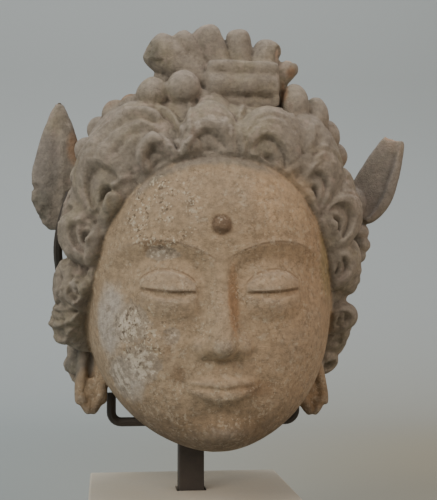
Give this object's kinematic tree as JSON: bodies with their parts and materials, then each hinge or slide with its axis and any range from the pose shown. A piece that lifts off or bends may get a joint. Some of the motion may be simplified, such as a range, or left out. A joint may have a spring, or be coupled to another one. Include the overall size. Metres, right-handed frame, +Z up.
{
  "type": "stucco bodhisattva head on a display mount",
  "caption": "Life-size stucco head with curled locks, fan topknot, bead wreath and leaf ornaments, held on a square steel post set in a low block.",
  "frame": {"origin": "middle of the block's underside, on the surface it stands on", "axes": "+Z up, the face looks along -Y, +X is to the viewer's right"},
  "size_m": [0.2495, 0.2001, 0.3385],
  "materials": {
    "stucco": "matte weathered stucco with traces of colour and dust",
    "blackened_steel": "blackened and waxed steel bar",
    "block_stone": "honed pale limestone"
  },
  "bodies": {
    "root": {"head": "stucco", "support_post": "blackened_steel", "jaw_cradle": "blackened_steel", "wing_arm": "blackened_steel", "plinth_block": "block_stone"}
  },
  "joints": []
}
